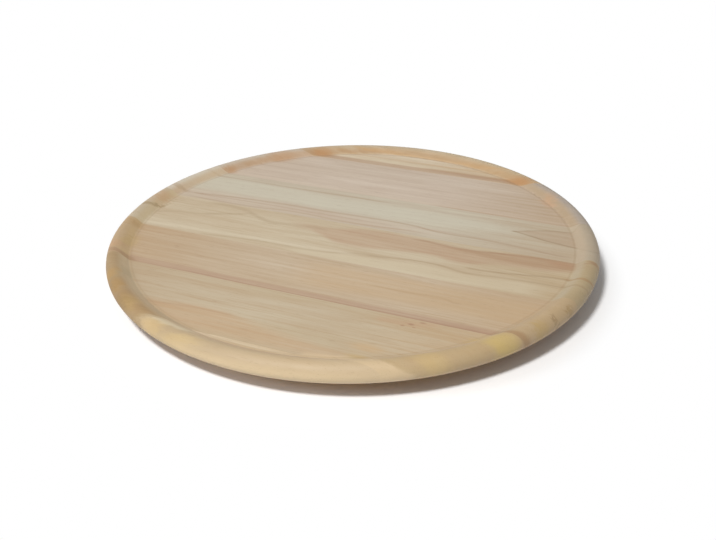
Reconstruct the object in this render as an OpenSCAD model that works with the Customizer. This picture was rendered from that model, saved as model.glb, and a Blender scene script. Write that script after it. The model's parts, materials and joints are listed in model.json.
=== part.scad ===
// Round turntable serving board: an edge-glued wooden disc with a raised rim and a shallow
// tray recess, turning on a flat ball swivel that stands on four rubber feet.
// The origin is on the table under the middle of the board, the staves run along X
// and stave 1 is at the back, towards +Y.

/* [Board] */
// Outside diameter of the board
board_d = 390; // [360:1:480]
// Thickness of the board at its rim, and height of its half-round edge
board_t = 15; // [12:0.5:24]
// Depth of the tray recess below the crest of the rim
recess_depth = 5; // [4:0.5:8]
// Steepest angle of the inner slope of the rim, in degrees
slope_angle = 35; // [25:1:45]
// Radius of the rounding between the crest and the inner slope
crest_r = 9; // [4:0.5:10]
// Radius of the hollow between the inner slope and the tray floor
cove_r = 3; // [1:0.5:4]

/* [Staves] */
// Width of stave 1, at the back, from its seam to the edge of the board
stave_1_w = 50.5; // [40:0.5:70]
// Width of stave 2
stave_2_w = 69; // [50:0.5:90]
// Width of stave 3
stave_3_w = 60.5; // [45:0.5:80]
// Width of stave 4
stave_4_w = 61.5; // [45:0.5:80]
// Width of stave 5
stave_5_w = 58; // [45:0.5:80]
// Width of stave 6
stave_6_w = 67.5; // [50:0.5:90]
// Width of stave 7, at the front, from its seam to the edge of the board
stave_7_w = 23; // [18:0.5:40]

/* [Swivel plates] */
// Side of each square plate
plate_w = 152; // [140:1:180]
// Radius of the corners of a plate
plate_corner_r = 12; // [4:1:20]
// Thickness of the pressed sheet
sheet_t = 1.2; // [0.8:0.1:2]
// Distance of each corner hole from the two edges beside it
hole_inset = 14; // [12:0.5:20]
// Flat land between the ball groove and the slope round the raised middle
dish_land = 3.2; // [2:0.2:5]
// Radial length of the slope between the raised middle and the flange
dish_slope = 3; // [2:0.5:5]
// Gap between the raised middles of the two plates
middle_gap = 3.2; // [2.4:0.1:4]
// Gap between the back of a ball groove and the face that the flange is fixed to
groove_relief = 0.7; // [0.4:0.1:1.2]

/* [Ball race] */
// Diameter of the balls
ball_d = 5; // [4:0.5:6]
// Diameter of the circle through the middles of the balls
ball_circle_d = 100; // [90:1:108]
// Number of balls
ball_count = 30; // [12:1:36]
// Gap between a ball and its groove
race_gap = 0.1; // [0.05:0.01:0.15]

/* [Rivet] */
// Diameter of the rivet shank
rivet_d = 8; // [6:0.5:12]
// Diameter of the two rivet heads
rivet_head_d = 16; // [13:0.5:22]
// Chamfer on the edge of a rivet head
rivet_chamfer = 0.5; // [0.2:0.1:0.6]
// Running gap round the rivet shank
rivet_gap = 0.05; // [0.02:0.01:0.1]
// End play between the upper plate and what holds it, above and below
end_play = 0.1; // [0.05:0.05:0.2]
// Gap between a rivet head and the face that the flange is fixed to
rivet_relief = 0.4; // [0.2:0.1:0.6]
// Outside diameter of the spacer washer
spacer_d = 20; // [15:0.5:26]

/* [Screws] */
// Diameter of a screw
screw_d = 4; // [3:0.1:5]
// Diameter of a screw head
screw_head_d = 8; // [7:0.5:10]
// Height of a screw head
screw_head_h = 2.2; // [1.8:0.1:2.8]
// Rounding of the edge of a screw head
screw_head_round = 1.4; // [0.5:0.1:1.6]
// Length of the pointed end of a screw
screw_point = 3; // [2:0.5:4]
// Wood left between a screw point and the tray floor
screw_cover = 1.7; // [1:0.1:3]
// Gap round a screw in the wood
pilot_gap = 0.05; // [0.02:0.01:0.1]
// Gap round a screw in the plate
screw_hole_gap = 0.3; // [0.2:0.1:0.6]
// Length of each slot of the cross in a screw head
cross_l = 4.4; // [3:0.1:5.5]
// Width of each slot of the cross
cross_w = 0.9; // [0.6:0.1:1.2]
// Depth of the cross
cross_depth = 1.1; // [0.6:0.1:1.5]

/* [Feet] */
// Diameter of a foot
foot_d = 18; // [14:0.5:22]
// Height of a foot under its plate
foot_h = 4; // [3:0.5:8]
// Rounding of the lower edge of a foot
foot_round = 1.2; // [0.5:0.1:2]
// Diameter of the plate hole that a foot is pushed into
foot_hole_d = 8; // [6:0.5:9]
// Gap round the neck of a foot
foot_gap = 0.1; // [0.05:0.05:0.2]
// Diameter of the head that holds a foot in its hole
foot_head_d = 11; // [10:0.5:14]
// Height of that head
foot_head_h = 2; // [1.5:0.1:3]
// Taper of that head
foot_head_taper = 1; // [0.5:0.1:1.5]

/* [Hidden] */
$fn = 128;

// Overshoot of shapes that cut others
cut = 1;
// Steps along each small rounding of an outline
arc_steps = 8;
// Overlap of the flange and the raised middle of a plate
flange_lap = 1;
// Turn of the upper plate, which brings its screws out past the sides of the lower plate
plate_turn = 45;

// Ball race, with heights above the fixed face of a flange
ball_r = ball_d / 2;
race_r = ball_circle_d / 2;
groove_in_r = ball_r + race_gap;
groove_out_r = groove_in_r + sheet_t;
dish_h = groove_in_r - middle_gap / 2 + groove_relief;
ball_h = dish_h + sheet_t + middle_gap / 2;

// Raised middle of a plate
dish_in_r = race_r + groove_out_r + dish_land;
dish_out_r = dish_in_r + dish_slope;
hole_xy = plate_w / 2 - hole_inset;
screw_hole_d = screw_d + 2 * screw_hole_gap;
plate_bore_d = rivet_d + 2 * rivet_gap;

// Heights above the table
ball_z = foot_h + ball_h;
board_z = foot_h + 2 * ball_h;
lower_dish_z = foot_h + dish_h;
upper_dish_z = board_z - dish_h;
crest_z = board_z + board_t;
tray_z = crest_z - recess_depth;
screw_seat_z = board_z - sheet_t;
screw_tip_z = tray_z - screw_cover;

// Rim of the board
board_r = board_d / 2;
edge_r = board_t / 2;
crest_pos_r = board_r - edge_r;
round_sum = crest_r + cove_r;
slope_straight = (recess_depth - round_sum * (1 - cos(slope_angle))) / sin(slope_angle);
slope_run = round_sum * sin(slope_angle) + slope_straight * cos(slope_angle);
tray_r = crest_pos_r - slope_run;

// Sum of the first n values of v
function total(v, n) = n == 0 ? 0 : v[n - 1] + total(v, n - 1);

// What each stave gives or takes so that the seven together make up the diameter
stave_w = [stave_1_w, stave_2_w, stave_3_w, stave_4_w, stave_5_w, stave_6_w, stave_7_w];
stave_ease = (board_d - total(stave_w, 7)) / 7;

// Seams from the back of the board to its front
seams = concat(
    [board_r + cut],
    [for (i = [1 : 6]) board_r - total(stave_w, i) - i * stave_ease],
    [-board_r - cut]
);

// Colours of the staves from the back to the front
stave_colours = ["#d9b284", "#cfae8c", "#d8c7a4", "#cdb08a", "#c9a583", "#d2b794", "#e0c79b"];

// Points along an arc about c, from angle a to angle b
function arc(c, r, a, b) = [
    for (i = [0 : arc_steps])
        let (t = a + (b - a) * i / arc_steps)
            c + r * [cos(t), sin(t)]
];

// Half section of the board: flat tray, hollow, slope, crest and half-round edge
module board_section() {
    crest_arc = arc([crest_pos_r, crest_z - crest_r], crest_r, 90, 90 + slope_angle);
    cove_arc = arc([tray_r, tray_z + cove_r], cove_r, slope_angle - 90, -90);
    polygon(concat(
        [[0, board_z], [crest_pos_r, board_z]],
        crest_arc,
        cove_arc,
        [[0, tray_z]]
    ));
    intersection() {
        translate([crest_pos_r, board_z + edge_r]) circle(edge_r);
        translate([crest_pos_r, board_z - cut]) square([board_t, board_t + 2 * cut]);
    }
}

// One stave, cut from the board between two seams and drilled for the screws
module top_stave(i) {
    back = seams[i - 1];
    front = seams[i];
    color(stave_colours[i - 1])
    difference() {
        intersection() {
            rotate_extrude() board_section();
            translate([-board_r - cut, front, board_z - cut])
                cube([board_d + 2 * cut, back - front, board_t + 2 * cut]);
        }
        for (k = [1 : 4]) at_screw(k) pilot_hole();
    }
}

// Hole in the wood for one screw
module pilot_hole() {
    translate([0, 0, board_z - cut])
        cylinder(d = screw_d + 2 * pilot_gap, h = screw_tip_z + pilot_gap - board_z + cut);
}

// Place of screw k, in a corner of the upper plate
module at_screw(k) {
    rotate([0, 0, plate_turn + 90 * (k - 1)])
        translate([hole_xy, hole_xy, 0])
            children();
}

// Place of foot k, in a corner of the lower plate
module at_foot(k) {
    rotate([0, 0, 90 * (k - 1)])
        translate([hole_xy, hole_xy, 0])
            children();
}

// Outline of a plate
module rounded_square(w, r) {
    square([w, w - 2 * r], center = true);
    square([w - 2 * r, w], center = true);
    for (x = [-1, 1], y = [-1, 1])
        translate([x, y] * (w / 2 - r)) circle(r);
}

// Half section of the raised middle of a plate, with its ball groove
module dish_section() {
    difference() {
        union() {
            polygon([
                [plate_bore_d / 2, dish_h],
                [dish_in_r, dish_h],
                [dish_out_r, 0],
                [dish_out_r + flange_lap, 0],
                [dish_out_r + flange_lap, sheet_t],
                [dish_out_r, sheet_t],
                [dish_in_r, dish_h + sheet_t],
                [plate_bore_d / 2, dish_h + sheet_t]
            ]);
            intersection() {
                translate([race_r, ball_h]) circle(groove_out_r);
                translate([race_r - ball_d, 0]) square([2 * ball_d, dish_h + sheet_t]);
            }
        }
        translate([race_r, ball_h]) circle(groove_in_r);
    }
}

// One pressed plate lying on the fixed face of its flange
module swivel_plate(hole_d) {
    difference() {
        union() {
            linear_extrude(sheet_t)
                difference() {
                    rounded_square(plate_w, plate_corner_r);
                    circle(dish_out_r + flange_lap / 2);
                }
            rotate_extrude() dish_section();
        }
        for (k = [1 : 4])
            at_foot(k)
                translate([0, 0, -cut])
                    cylinder(d = hole_d, h = sheet_t + 2 * cut);
    }
}

module lower_plate() {
    color("silver")
    translate([0, 0, foot_h])
        swivel_plate(foot_hole_d);
}

module upper_plate() {
    color("silver")
    translate([0, 0, board_z])
        mirror([0, 0, 1])
            rotate([0, 0, plate_turn])
                swivel_plate(screw_hole_d);
}

module bearing_balls() {
    color("gainsboro")
    for (i = [0 : ball_count - 1])
        rotate([0, 0, 360 * i / ball_count])
            translate([race_r, 0, ball_z])
                sphere(ball_r);
}

// Rivet with a head under the lower plate and a head above the upper plate
module centre_rivet() {
    head_r = rivet_head_d / 2;
    shank_r = rivet_d / 2;
    bottom = foot_h + rivet_relief;
    seat = upper_dish_z + end_play;
    top = board_z - rivet_relief;
    color("darkgray")
    rotate_extrude()
        polygon([
            [0, bottom],
            [head_r - rivet_chamfer, bottom],
            [head_r, bottom + rivet_chamfer],
            [head_r, lower_dish_z],
            [shank_r, lower_dish_z],
            [shank_r, seat],
            [head_r, seat],
            [head_r, top - rivet_chamfer],
            [head_r - rivet_chamfer, top],
            [0, top]
        ]);
}

// Washer that lies on the lower plate and keeps the two plates apart
module spacer_washer() {
    color("lightgray")
    translate([0, 0, lower_dish_z + sheet_t])
        difference() {
            cylinder(d = spacer_d, h = middle_gap - end_play);
            translate([0, 0, -cut])
                cylinder(d = plate_bore_d, h = middle_gap + 2 * cut);
        }
}

// Pan-head wood screw, head down, with a cross in its head
module plate_screw(k) {
    head_r = screw_head_d / 2;
    head_z = screw_seat_z - screw_head_h;
    round_c = [head_r - screw_head_round, head_z + screw_head_round];
    color("lightgray")
    at_screw(k)
        difference() {
            rotate_extrude()
                polygon(concat(
                    [[0, head_z]],
                    arc(round_c, screw_head_round, -90, 0),
                    [
                        [head_r, screw_seat_z],
                        [screw_d / 2, screw_seat_z],
                        [screw_d / 2, screw_tip_z - screw_point],
                        [0, screw_tip_z]
                    ]
                ));
            for (turn = [0, 90])
                rotate([0, 0, turn])
                    translate([-cross_l / 2, -cross_w / 2, head_z - cut])
                        cube([cross_l, cross_w, cut + cross_depth]);
        }
}

// Rubber foot with a neck through the lower plate and a head that holds it there
module rubber_foot(k) {
    foot_r = foot_d / 2;
    neck_r = foot_hole_d / 2 - foot_gap;
    head_r = foot_head_d / 2;
    neck_top = foot_h + sheet_t;
    head_top = neck_top + foot_head_h;
    color("dimgray")
    at_foot(k)
        rotate_extrude()
            polygon(concat(
                [[0, 0]],
                arc([foot_r - foot_round, foot_round], foot_round, -90, 0),
                [
                    [foot_r, foot_h],
                    [neck_r, foot_h],
                    [neck_r, neck_top],
                    [head_r, neck_top],
                    [head_r - foot_head_taper, head_top],
                    [0, head_top]
                ]
            ));
}

for (i = [1 : 7])
    top_stave(i);
lower_plate();
upper_plate();
bearing_balls();
centre_rivet();
spacer_washer();
for (k = [1 : 4])
    plate_screw(k);
for (k = [1 : 4])
    rubber_foot(k);
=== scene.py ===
# %% [markdown]
# # A round turntable board of seven glued staves
#
# The real object is a wooden serving board that spins on a flat ball swivel. Seven staves are
# glued edge to edge, turned to a disc with a raised rim and a shallow tray, and lacquered.
# Under the board sit two pressed steel plates with a ring of balls between them, a rivet, four
# screws and four rubber feet. The CAD model fixes every size, so this script only dresses it:
# each solid gets a finer mesh in the same place, and a finish made of nodes.

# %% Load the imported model
import json
import math

import bmesh
import bpy
from mathutils import Matrix, Vector

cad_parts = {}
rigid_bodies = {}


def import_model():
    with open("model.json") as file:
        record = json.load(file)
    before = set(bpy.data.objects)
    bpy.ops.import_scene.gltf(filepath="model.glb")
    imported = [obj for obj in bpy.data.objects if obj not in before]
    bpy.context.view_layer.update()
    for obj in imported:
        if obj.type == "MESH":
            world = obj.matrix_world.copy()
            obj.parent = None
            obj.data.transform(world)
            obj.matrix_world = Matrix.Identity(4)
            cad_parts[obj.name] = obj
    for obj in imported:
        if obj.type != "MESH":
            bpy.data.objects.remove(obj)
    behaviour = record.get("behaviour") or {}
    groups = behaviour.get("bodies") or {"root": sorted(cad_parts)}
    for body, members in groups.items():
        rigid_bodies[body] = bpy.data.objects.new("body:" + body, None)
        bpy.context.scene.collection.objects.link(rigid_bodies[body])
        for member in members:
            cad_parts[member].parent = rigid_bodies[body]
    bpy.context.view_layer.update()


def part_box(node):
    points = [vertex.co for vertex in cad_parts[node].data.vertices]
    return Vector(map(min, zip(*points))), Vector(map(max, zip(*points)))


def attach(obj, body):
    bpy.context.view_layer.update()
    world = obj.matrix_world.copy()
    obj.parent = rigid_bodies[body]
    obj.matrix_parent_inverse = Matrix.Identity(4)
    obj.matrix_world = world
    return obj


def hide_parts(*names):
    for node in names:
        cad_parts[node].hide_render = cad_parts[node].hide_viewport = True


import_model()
MM = 0.001

# %% [markdown]
# ## Camera
#
# The photograph looks down on the board from the front, about 29 degrees above the table. The
# lens and the place come from fitting the outline of the disc and its parallel seams. The turn
# is given as three plain angles, so a reader can change one and see what it does.

# %% Place the camera
CAMERA_PLACE = (0.25114, -0.57702, 0.33648)
CAMERA_YAW = math.radians(23.177)
CAMERA_PITCH = math.radians(61.122)
CAMERA_ROLL = math.radians(-0.766)
CAMERA_LENS = 43.49
CAMERA_SENSOR = 36

bpy.ops.object.camera_add(location=CAMERA_PLACE)
camera = bpy.context.object
camera.name = "photo_camera"
camera.rotation_euler = (
    Matrix.Rotation(CAMERA_YAW, 3, "Z")
    @ Matrix.Rotation(CAMERA_PITCH, 3, "X")
    @ Matrix.Rotation(CAMERA_ROLL, 3, "Z")
).to_euler()
camera.data.lens = CAMERA_LENS
camera.data.sensor_width = CAMERA_SENSOR
camera.data.dof.use_dof = False
bpy.context.scene.camera = camera
print("camera:", [round(v, 3) for v in camera.location], "lens", camera.data.lens, "mm")

# %% [markdown]
# ## Drawing a half section and spinning it
#
# Most pieces of this object are turned or pressed round an axis, so one way of working serves
# them all. A half section is drawn point by point with the extrude operator, as by hand, then
# the spin operator sweeps it round. Spinning beats a cylinder primitive here, because the
# roundings are in the section itself and come out even all the way round.

# %% Helpers for turned pieces
TOUCHING, WELD = 1e-7, 2e-6


def pick_only(piece):
    """Leaves piece as the one selected and active object, in object mode."""
    if bpy.context.object and bpy.context.object.mode != "OBJECT":
        bpy.ops.object.mode_set(mode="OBJECT")
    bpy.ops.object.select_all(action="DESELECT")
    if piece:
        piece.select_set(True)
        bpy.context.view_layer.objects.active = piece


def edit_all(piece):
    """Opens piece in edit mode with all of it selected."""
    pick_only(piece)
    bpy.ops.object.mode_set(mode="EDIT")
    bpy.ops.mesh.select_all(action="SELECT")


def weld():
    """In edit mode: joins points that lie on each other."""
    bpy.ops.mesh.select_all(action="SELECT")
    bpy.ops.mesh.remove_doubles(threshold=WELD)


def select_where(piece, kind, test):
    """In edit mode: selects the edges or verts of piece that pass a test, and no others."""
    mesh = bmesh.from_edit_mesh(piece.data)
    for part in getattr(mesh, kind):
        part.select_set(test(part))
    bmesh.update_edit_mesh(piece.data)


def move_mesh(piece, x, y, z):
    """Moves the mesh of piece by so many mm, and leaves its origin."""
    piece.data.transform(Matrix.Translation((x * MM, y * MM, z * MM)))


def soften(corners, steps=5):
    """Points of a section in mm. A corner with a third number is rounded to that radius."""
    points = []
    for i, corner in enumerate(corners):
        radius = corner[2] if len(corner) > 2 else 0
        if not radius:
            points.append(corner[:2])
            continue
        before, after = corners[i - 1], corners[(i + 1) % len(corners)]
        a = math.atan2(before[1] - corner[1], before[0] - corner[0])
        b = math.atan2(after[1] - corner[1], after[0] - corner[0])
        half = ((b - a + math.pi) % (2 * math.pi) - math.pi) / 2
        middle = a + half
        reach = radius / math.sin(abs(half))
        cx = corner[0] + reach * math.cos(middle)
        cy = corner[1] + reach * math.sin(middle)
        sweep = (abs(half) - math.pi / 2) * math.copysign(1, half)
        for k in range(steps + 1):
            t = middle + math.pi - sweep + 2 * sweep * k / steps
            points.append((cx + radius * math.cos(t), cy + radius * math.sin(t)))
    return points


def face_out(piece):
    """In edit mode: makes the normals agree, and turns them round if the volume is negative."""
    bpy.ops.mesh.select_all(action="SELECT")
    bpy.ops.mesh.normals_make_consistent(inside=False)
    if bmesh.from_edit_mesh(piece.data).calc_volume(signed=True) < 0:
        bpy.ops.mesh.flip_normals()


def turn_piece(name, section, steps, close=False):
    """Draws section, pairs of radius and height in mm, and spins it round the Z axis."""
    pick_only(None)
    bpy.ops.mesh.primitive_plane_add(size=MM, enter_editmode=True)
    piece = bpy.context.object
    piece.name = piece.data.name = name
    bpy.ops.mesh.merge(type="CENTER")
    bpy.ops.transform.translate(value=(section[0][0] * MM, 0, section[0][1] * MM))
    walk = section + section[:1] if close else section
    for here, there in zip(walk, walk[1:]):
        step = ((there[0] - here[0]) * MM, 0, (there[1] - here[1]) * MM)
        bpy.ops.mesh.extrude_vertices_move(TRANSFORM_OT_translate={"value": step})
    bpy.ops.mesh.select_all(action="SELECT")
    bpy.ops.mesh.remove_doubles(threshold=TOUCHING)
    bpy.ops.mesh.spin(steps=steps, angle=2 * math.pi, center=(0, 0, 0), axis=(0, 0, 1))
    weld()
    face_out(piece)
    bpy.ops.object.mode_set(mode="OBJECT")
    return piece


def own_copy(piece, name):
    """A copy of piece with its own mesh."""
    pick_only(piece)
    bpy.ops.object.duplicate()
    made = bpy.context.object
    made.name = made.data.name = name
    return made


def apply_modifier(piece, kind, **settings):
    """Adds one modifier to piece and applies it."""
    pick_only(piece)
    bpy.ops.object.modifier_add(type=kind)
    modifier = piece.modifiers[-1]
    for key, value in settings.items():
        setattr(modifier, key, value)
    bpy.ops.object.modifier_apply(modifier=modifier.name)


def cut_away(piece, cutter):
    """Cuts the shape of cutter out of piece and throws cutter away."""
    apply_modifier(piece, "BOOLEAN", operation="DIFFERENCE", solver="EXACT", object=cutter)
    bpy.data.objects.remove(cutter)


def bore(piece, x, y, radius, low, high, steps):
    """Cuts a round hole out of piece, from one height to another."""
    bit = turn_piece("bore_bit", [(0, low), (radius, low), (radius, high), (0, high)], steps)
    move_mesh(bit, x, y, 0)
    cut_away(piece, bit)


def shade(piece, degrees=30):
    """Smooth shading, with creases where faces meet at more than this angle."""
    pick_only(piece)
    bpy.ops.object.shade_smooth_by_angle(angle=math.radians(degrees))


by_slot = {}


def settle(piece, body, slot, *nodes):
    """Lets piece ride on its body, take its slot's finish and stand for its CAD nodes."""
    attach(piece, body)
    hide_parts(*nodes)
    by_slot.setdefault(slot, []).append(piece)
    print(piece.name, "on", body, "for", ", ".join(nodes), ":", len(piece.data.polygons), "faces")


def dims_of(node):
    """Lowest and highest corner of a CAD node in mm."""
    low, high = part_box(node)
    return [v / MM for v in low], [v / MM for v in high]


print("section helpers ready")

# %% [markdown]
# ## The board blank
#
# The maker glues the staves into a square panel, saws it round and turns the rim and the tray
# on a lathe. The same order works here: one full disc is spun from its half section, and the
# staves are cut from it afterwards, so the rim runs on across every seam without a step.

# %% Turn the board blank
BOARD_R = 195
TRAY_DEPTH = 5
SLOPE = math.radians(35)
CREST_R = 9
COVE_R = 3
BOARD_STEPS = 360
EDGE_STEPS, BEND_STEPS = 32, 12
FLAT_RINGS = (0, 45, 90, 135, 170)

board_low = dims_of("top_stave_4")[0][2]
board_high = dims_of("top_stave_4")[1][2]
edge_r = (board_high - board_low) / 2
crest_r = BOARD_R - edge_r
tray_z = board_high - TRAY_DEPTH


def arc(cx, cy, radius, start, end, steps):
    """Points on an arc, from one angle to another, in degrees."""
    turns = [math.radians(start + (end - start) * k / steps) for k in range(steps + 1)]
    return [(cx + radius * math.cos(t), cy + radius * math.sin(t)) for t in turns]


both = CREST_R + COVE_R
straight = (TRAY_DEPTH - both * (1 - math.cos(SLOPE))) / math.sin(SLOPE)
tray_r = crest_r - both * math.sin(SLOPE) - straight * math.cos(SLOPE)
slope_deg = math.degrees(SLOPE)
board_section = (
    [(r, board_low) for r in FLAT_RINGS]
    + arc(crest_r, board_low + edge_r, edge_r, -90, 90, EDGE_STEPS)
    + arc(crest_r, board_high - CREST_R, CREST_R, 90, 90 + slope_deg, BEND_STEPS)[1:]
    + arc(tray_r, tray_z + COVE_R, COVE_R, slope_deg - 90, -90, BEND_STEPS)
    + [(r, tray_z) for r in reversed(FLAT_RINGS)]
)
blank = turn_piece("board_blank", board_section, BOARD_STEPS)
print("tray radius", round(tray_r, 2), "tray height", round(tray_z, 2), "faces", len(blank.data.polygons))

# %% [markdown]
# ## Seven staves
#
# Each stave is the part of the disc between two seams. The bisect operator cuts a copy of the
# blank at a seam and fills the cut, which leaves the flat glued face that a real stave has.
# The seams come from the CAD nodes, so the pieces can't drift away from their solids.

# %% Cut the staves and drill them
STAVES = 7
SCREW_HOLE_R, SCREW_ROOM = 2.05, 0.05
DRILL_LOW, DRILL_STEPS = board_low - 2, 32
seams = [dims_of(f"top_stave_{i}")[0][1] for i in range(1, STAVES)]


def keep_side(piece, seam, keep_back):
    """Cuts piece at a seam and keeps what lies behind it or in front of it."""
    edit_all(piece)
    bpy.ops.mesh.bisect(
        plane_co=(0, seam * MM, 0),
        plane_no=(0, 1, 0),
        use_fill=True,
        threshold=TOUCHING,
        clear_inner=keep_back,
        clear_outer=not keep_back,
    )
    weld()


screw_boxes = [dims_of(f"plate_screw_{k}") for k in range(1, 5)]
screws_at = [((lo[0] + hi[0]) / 2, (lo[1] + hi[1]) / 2, hi[2]) for lo, hi in screw_boxes]
for i in range(1, STAVES + 1):
    stave = own_copy(blank, f"board_stave_{i}")
    if i > 1:
        keep_side(stave, seams[i - 2], keep_back=False)
    if i < STAVES:
        keep_side(stave, seams[i - 1], keep_back=True)
    low, high = dims_of(f"top_stave_{i}")
    for x, y, tip in screws_at:
        if low[1] < y < high[1]:
            bore(stave, x, y, SCREW_HOLE_R, DRILL_LOW, tip + SCREW_ROOM, DRILL_STEPS)
    shade(stave)
    settle(stave, "turntable", f"stave_{i}_wood", f"top_stave_{i}")
bpy.data.objects.remove(blank)
print("seams at", [round(s, 1) for s in seams])

# %% [markdown]
# ## Pressed swivel plates
#
# A swivel plate is one square of steel sheet with its middle pressed up and a round groove
# pressed in for the balls. A sheet is best made as a sheet: its middle surface is spun, bridged
# to a rounded square, and given its thickness by a Solidify modifier. Every bend then has the
# even wall and the soft radius that a press leaves, which two stacked solids wouldn't have.

# %% Press one plate
SHEET = 1.2
PLATE_W = 152
PLATE_CORNER = 12
RACE_R = 50
BALL_R = 2.5
DISH_MID = 2.3
FLANGE_MID = SHEET / 2
BALL_H = 4.5
GROOVE_MID = 3.2
SHOULDER_R = 1.0
BORE_R = 4.05
FLANGE_R = 64
EDGE_SLACK = 1e-5
DISH_RINGS = (20, 34)
DISH_OUT, DISH_R, DISH_FOOT_R, DISH_BEND = 53, 57, 60, 1.5
SHOULDER_STEPS, GROOVE_STEPS = 5, 16
PLATE_STEPS = 128
CORNER_SEGMENTS = 12
SIDE_CUTS = PLATE_STEPS // 4 - CORNER_SEGMENTS - 1
BRIDGE_DROP = 10

shoulder_x = math.sqrt((GROOVE_MID + SHOULDER_R) ** 2 - (BALL_H - DISH_MID + SHOULDER_R) ** 2)
lean = math.degrees(math.atan2(shoulder_x, BALL_H - DISH_MID + SHOULDER_R))
shoulder_y = DISH_MID - SHOULDER_R
dish_bends = soften([
    (DISH_OUT, DISH_MID),
    (DISH_R, DISH_MID, DISH_BEND),
    (DISH_FOOT_R, FLANGE_MID, DISH_BEND),
    (FLANGE_R, FLANGE_MID),
])
plate_section = (
    [(r, DISH_MID) for r in (BORE_R, *DISH_RINGS)]
    + arc(RACE_R - shoulder_x, shoulder_y, SHOULDER_R, 90, 90 - lean, SHOULDER_STEPS)
    + arc(RACE_R, BALL_H, GROOVE_MID, -90 - lean, -90 + lean, GROOVE_STEPS)[1:-1]
    + arc(RACE_R + shoulder_x, shoulder_y, SHOULDER_R, 90 + lean, 90, SHOULDER_STEPS)
    + dish_bends[1:]
)

# The round middle, and below it a rounded square with as many points as its edge
pressing = turn_piece("plate_pressing", plate_section, PLATE_STEPS)
edit_all(pressing)
bpy.ops.mesh.select_all(action="DESELECT")
bpy.ops.mesh.primitive_plane_add(size=PLATE_W * MM, location=(0, 0, (FLANGE_MID - BRIDGE_DROP) * MM))
bpy.ops.mesh.bevel(offset=PLATE_CORNER * MM, segments=CORNER_SEGMENTS, affect="VERTICES")
bpy.ops.mesh.select_linked()
bpy.ops.mesh.delete(type="ONLY_FACE")
half_side = PLATE_W / 2 * MM
select_where(pressing, "edges", lambda edge: not edge.link_faces and edge.calc_length() > half_side)
bpy.ops.mesh.subdivide(number_cuts=SIDE_CUTS)


def on_border(edge):
    """Tells the open edges at the flange's end and on the square."""
    far = all(vert.co.xy.length > FLANGE_R * MM - EDGE_SLACK for vert in edge.verts)
    return far and len(edge.link_faces) < 2


# The two are bridged, and the square comes up to the height of the flange
select_where(pressing, "edges", on_border)
bpy.ops.mesh.bridge_edge_loops()
select_where(pressing, "verts", lambda vert: vert.co.z < 0)
bpy.ops.transform.translate(value=(0, 0, BRIDGE_DROP * MM))
bpy.ops.mesh.select_all(action="SELECT")
bpy.ops.mesh.normals_make_consistent(inside=False)
apply_modifier(pressing, "SOLIDIFY", thickness=SHEET * MM, offset=0, use_even_offset=True)
print("pressing:", len(pressing.data.polygons), "faces, groove shoulders at", round(shoulder_x, 2), "mm")

# %% [markdown]
# Both plates are the same pressing. The lower one lies flat on the feet and has larger holes,
# and the upper one is turned over and an eighth of a turn round, so that its screws can be
# reached past the lower plate. Mirroring turns a mesh inside out, so its normals are made
# consistent again. A small bevel takes the sharpness off the punched edges.

# %% Punch the holes and place the two plates
FOOT_HOLE_R = 4
PLATE_HOLE_R = 2.3
HOLE_INSET = 14
HOLE_XY = PLATE_W / 2 - HOLE_INSET
PUNCH_LOW, PUNCH_HIGH, PUNCH_STEPS = -2, 4, 44
EDGE_BEVEL, BEVEL_FROM = 0.25, 0.9
plate_low = dims_of("lower_plate")[0][2]


def punch(plate, radius):
    """Punches the four corner holes of a plate and takes off the sharpness."""
    for x in (-HOLE_XY, HOLE_XY):
        for y in (-HOLE_XY, HOLE_XY):
            bore(plate, x, y, radius, PUNCH_LOW, PUNCH_HIGH, PUNCH_STEPS)
    limits = {"limit_method": "ANGLE", "angle_limit": BEVEL_FROM}
    apply_modifier(plate, "BEVEL", width=EDGE_BEVEL * MM, segments=2, **limits)


lower_plate = own_copy(pressing, "lower_swivel_plate")
upper_plate = own_copy(pressing, "upper_swivel_plate")
bpy.data.objects.remove(pressing)
punch(lower_plate, FOOT_HOLE_R)
punch(upper_plate, PLATE_HOLE_R)
move_mesh(lower_plate, 0, 0, plate_low)
edit_all(upper_plate)
bpy.ops.transform.resize(value=(1, 1, -1), center_override=(0, 0, 0))
bpy.ops.transform.rotate(value=math.pi / 4, orient_axis="Z", center_override=(0, 0, 0))
bpy.ops.transform.translate(value=(0, 0, board_low * MM))
face_out(upper_plate)
for plate, body in ((lower_plate, "base"), (upper_plate, "turntable")):
    shade(plate, 35)
    settle(plate, body, "zinc_plated_sheet", plate.name.replace("_swivel", ""))

# %% [markdown]
# ## Ring of balls
#
# Thirty loose steel balls roll in the groove. A ball made from a cube, with subdivision and a
# Cast modifier, has even square faces and no poles that would show in its mirror finish. The
# spin operator can also copy instead of sweep, and so lays out the whole ring in one step.

# %% Make the balls
BALLS = 30
BALL_LEVELS = 3
ball_z = (dims_of("bearing_balls")[0][2] + dims_of("bearing_balls")[1][2]) / 2

pick_only(None)
bpy.ops.mesh.primitive_cube_add(size=2 * BALL_R * MM)
balls = bpy.context.object
balls.name = balls.data.name = "bearing_ball_ring"
apply_modifier(balls, "SUBSURF", levels=BALL_LEVELS, render_levels=BALL_LEVELS)
apply_modifier(balls, "CAST", factor=1, size=BALL_R * MM, use_radius_as_size=False)
move_mesh(balls, RACE_R, 0, ball_z)
edit_all(balls)
bpy.ops.mesh.spin(steps=BALLS, dupli=True, angle=2 * math.pi, center=(0, 0, 0), axis=(0, 0, 1))
weld()
shade(balls, 60)
settle(balls, "ball_ring", "polished_ball_steel", "bearing_balls")

# %% [markdown]
# ## Rivet and washer
#
# The rivet is the pivot: its shank passes both plates, and the heads are pressed over, so they
# are low domes with soft edges. The washer keeps the plates apart. Both are turned pieces.

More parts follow.
